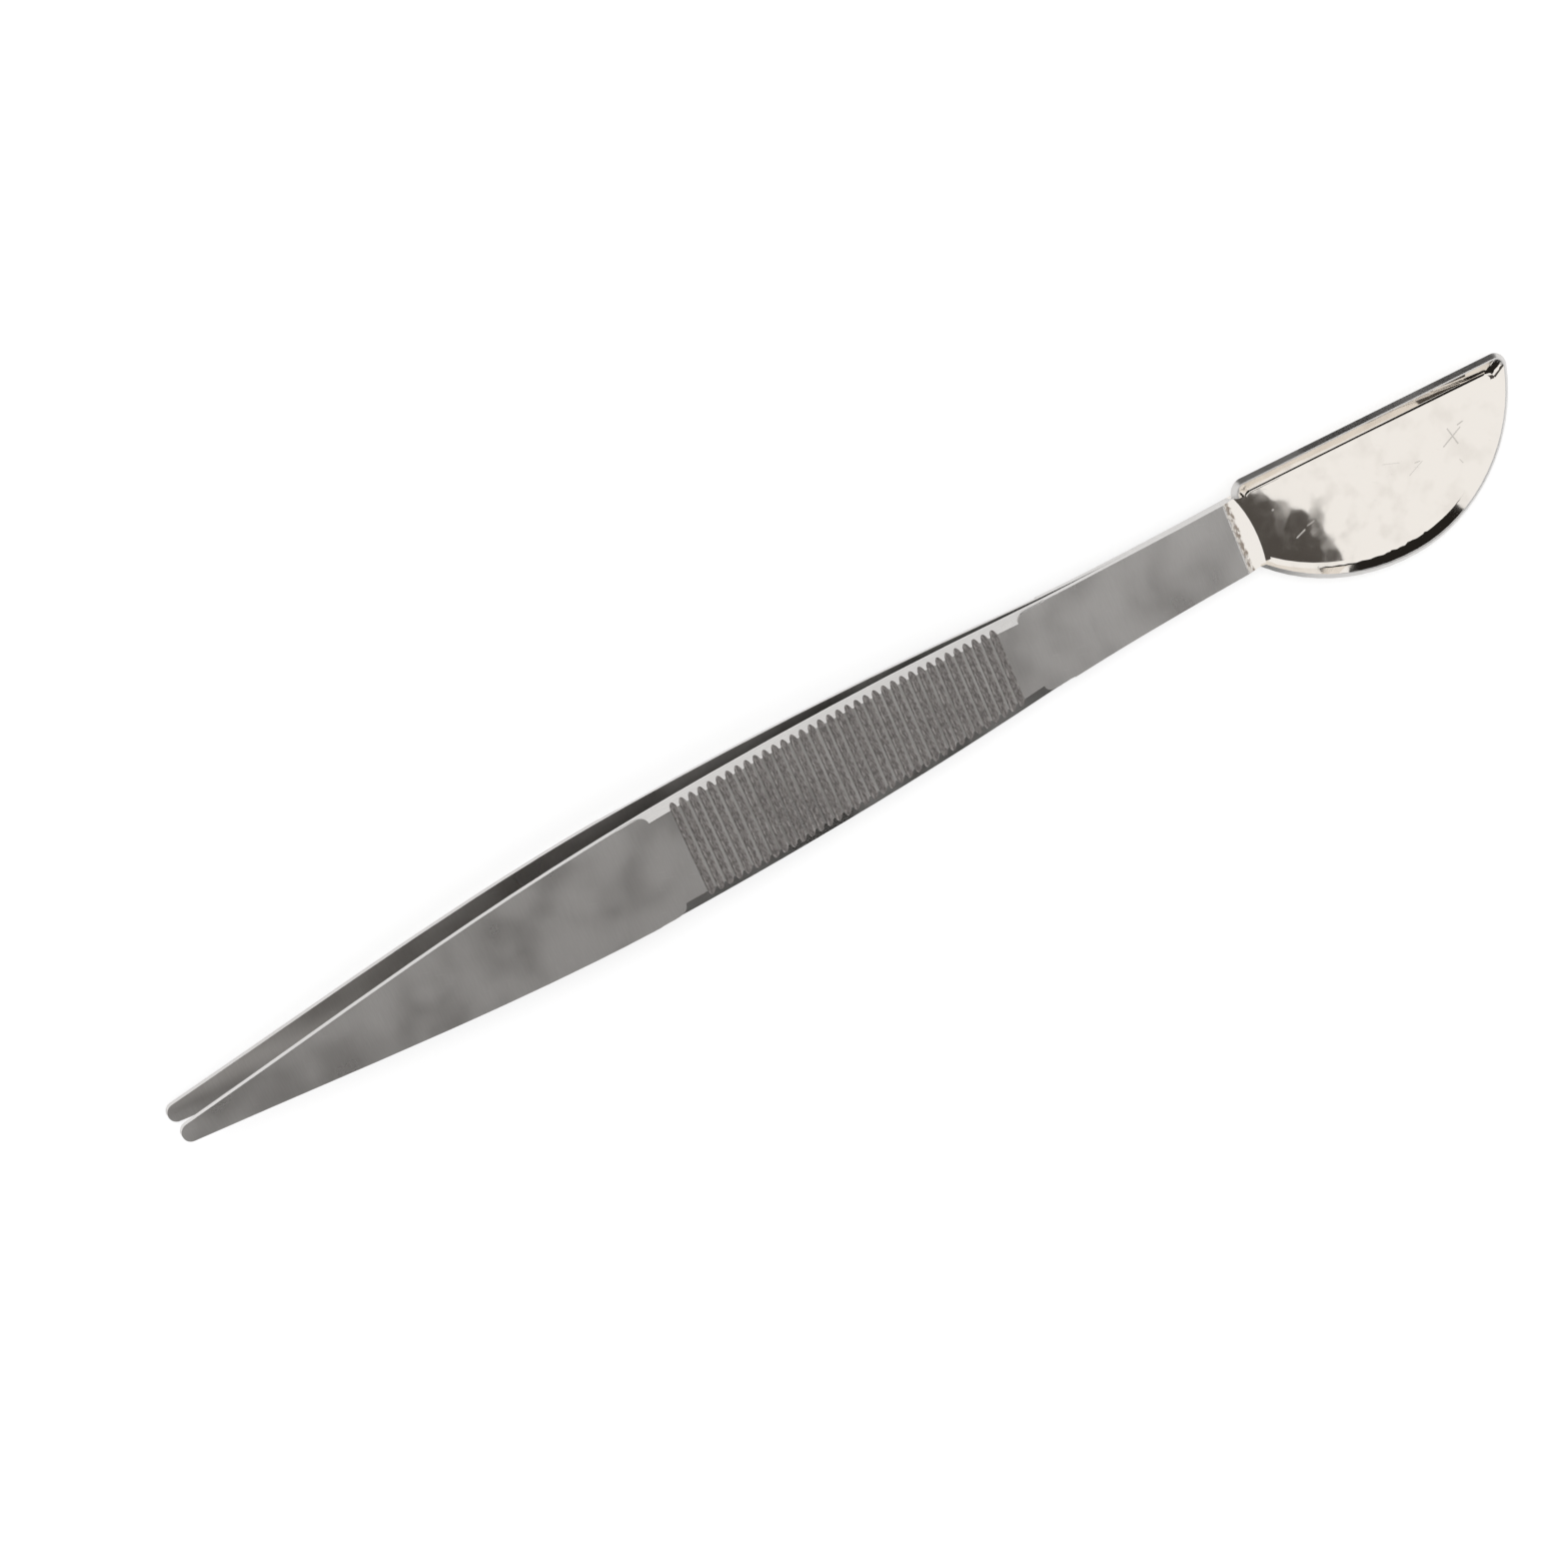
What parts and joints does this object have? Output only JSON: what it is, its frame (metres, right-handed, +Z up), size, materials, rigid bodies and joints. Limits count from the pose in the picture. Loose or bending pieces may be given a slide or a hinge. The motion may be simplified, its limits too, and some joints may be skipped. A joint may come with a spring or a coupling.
{
  "type": "bonsai tweezers with spatula",
  "caption": "Long sprung steel tweezers with a ridged grip, fine tips and a dished half-moon spatula at the joined tail.",
  "frame": {"origin": "under the middle of the tool's box, on the surface that it lies on", "axes": "+X along the tool towards the spatula, +Y towards the spatula's straight edge, +Z up out of the upper arm"},
  "size_m": [0.2061, 0.022, 0.0104],
  "materials": {
    "satin_steel": "satin, brushed across the grip",
    "polished_steel": "mirror-polished dish, satin arm"
  },
  "bodies": {
    "root": {"upper_arm": "satin_steel", "spatula_arm": "polished_steel"}
  },
  "joints": []
}
